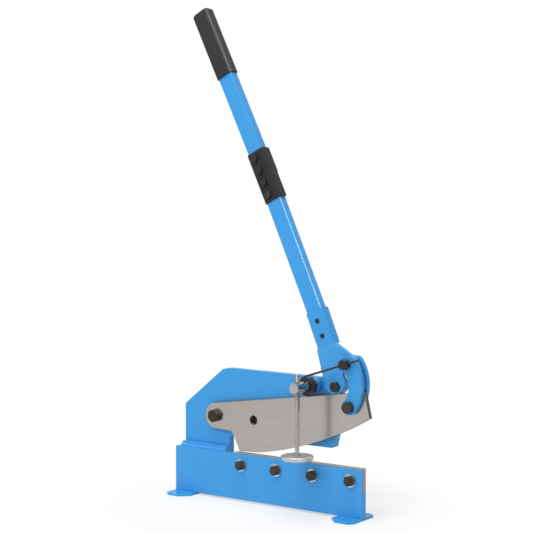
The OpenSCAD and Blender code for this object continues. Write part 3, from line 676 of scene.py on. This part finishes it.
def addHoleThread(node):
    low, high = nodeBox(node)
    rows = threadRows(low[1] + holeLook["behindFront"], high[1] - holeLook["beforeBack"], holeLook)
    build = bmesh.new()
    rings = [addRing(build, holeLook["centre"], level, radii, False) for level, radii in rows]
    pileRings(build, rings, closed=False)
    build.faces.new(rings[-1])
    # black oxide here is painted shade in the hole, not the blade's own steel
    finishPiece(build, "bladeHoleThread", nodeBody[node], slotFinish["black_oxide"], None,
                holeLook["smooth"])


plainNodes = []
for node in frame["nodes"]:
    if node in hexSide:
        dressHex(node)
    elif node == "hold_down_screw":
        addScrew(node)
    elif node == "hold_down_pad":
        addPad(node)
    elif node in edgeBreak:
        dress(node)
    else:
        frame["nodes"][node].data.materials.clear()
        frame["nodes"][node].data.materials.append(finishOf(node))
        plainNodes.append(node)
addHoleThread("upper_blade")
print("nodes dressed:", len(frame["nodes"]) - len(plainNodes), "and left plain:", len(plainNodes))

# floor: lit like the object, and near white to the camera, fully so outside its reach
floorLook = {"size": 60.0, "colour": (0.86, 0.86, 0.87, 1), "roughness": 0.9, "specular": 0.1,
             "glow": (0.57, 1.0), "reach": (0.20, 0.42)}


def addFloor():
    bpy.ops.mesh.primitive_plane_add(size=floorLook["size"])
    floor = bpy.context.object
    floor.name = "studioFloor"
    material, tree, shader = newMaterial("studioFloor")
    link = tree.links.new
    shader.inputs["Base Color"].default_value = floorLook["colour"]
    shader.inputs["Roughness"].default_value = floorLook["roughness"]
    shader.inputs["Specular IOR Level"].default_value = floorLook["specular"]
    glow = addNode(tree, "ShaderNodeEmission", (400, -300), Strength=1.0)
    rays = addNode(tree, "ShaderNodeLightPath", (100, 300))
    mix = addNode(tree, "ShaderNodeMixShader", (700, 0))
    where = addNode(tree, "ShaderNodeNewGeometry", (-500, 500))
    far = addNode(tree, "ShaderNodeVectorMath", (-300, 500), operation="LENGTH")
    fade = addNode(tree, "ShaderNodeMapRange", (-100, 500), interpolation_type="SMOOTHSTEP")
    fade.inputs["From Min"].default_value, fade.inputs["From Max"].default_value = floorLook["reach"]
    fade.inputs["To Min"].default_value, fade.inputs["To Max"].default_value = floorLook["glow"]
    seen = addNode(tree, "ShaderNodeMath", (400, 300), operation="MULTIPLY")
    link(where.outputs["Position"], far.inputs[0])
    link(far.outputs["Value"], fade.inputs["Value"])
    link(fade.outputs["Result"], seen.inputs[1])
    link(rays.outputs["Is Camera Ray"], seen.inputs[0])
    link(seen.outputs[0], mix.inputs["Fac"])
    link(shader.outputs["BSDF"], mix.inputs[1])
    link(glow.outputs["Emission"], mix.inputs[2])
    out = tree.nodes["Material Output"]
    out.location = (900, 0)
    link(mix.outputs["Shader"], out.inputs["Surface"])
    floor.data.materials.append(material)


# world: white to the camera, and darker as light and in reflections
worldLook = {"ambient": 0.40, "mirrored": 0.85}


def addWorld():
    world = bpy.data.worlds.new("studioWorld")
    bpy.context.scene.world = world
    world.use_nodes = True
    tree = world.node_tree
    background = tree.nodes["Background"]
    background.inputs["Color"].default_value = (1, 1, 1, 1)
    rays = addNode(tree, "ShaderNodeLightPath", (-600, 0))
    soft = spread(tree, rays.outputs["Is Glossy Ray"], worldLook["ambient"], worldLook["mirrored"], (-400, 0))
    level = addNode(tree, "ShaderNodeMath", (-160, 0), operation="MAXIMUM")
    tree.links.new(soft, level.inputs[0])
    tree.links.new(rays.outputs["Is Camera Ray"], level.inputs[1])
    tree.links.new(level.outputs[0], background.inputs["Strength"])


# lamps: the last one only draws a line of light along the rounded edge of the pieces it names
lamps = [
    {"name": "keyPanel", "place": (-0.7, -3.0, 2.7), "aim": (0.0, 0.0, 0.35), "size": 2.2, "power": 58.0},
    {"name": "topPanel", "place": (0.1, -0.2, 3.0), "aim": (0.0, 0.0, 0.3), "size": 2.4, "power": 55.0},
    {"name": "edgePanel", "place": (2.04, -1.72, 1.94), "aim": (0.0, 0.0, 0.6), "size": 0.9, "power": 300.0,
     "onlyOn": ("lower_tube", "grip")},
]


def addLamp(lamp):
    data = bpy.data.lights.new(lamp["name"], "AREA")
    data.shape = "SQUARE"
    data.size = lamp["size"]
    data.energy = lamp["power"]
    holder = bpy.data.objects.new(lamp["name"], data)
    holder.location = lamp["place"]
    aim = Vector(lamp["aim"]) - Vector(lamp["place"])
    holder.rotation_euler = aim.to_track_quat("-Z", "Y").to_euler()
    bpy.context.collection.objects.link(holder)
    if "onlyOn" in lamp:
        lit = bpy.data.collections.new(lamp["name"])
        for node in lamp["onlyOn"]:
            lit.objects.link(dressed[node])
        holder.light_linking.receiver_collection = lit
        holder.visible_diffuse = False


addFloor()
addWorld()
for lamp in lamps:
    addLamp(lamp)
bpy.context.scene.view_settings.view_transform = "Standard"
print("stage lit:", len(lamps), "lamps")
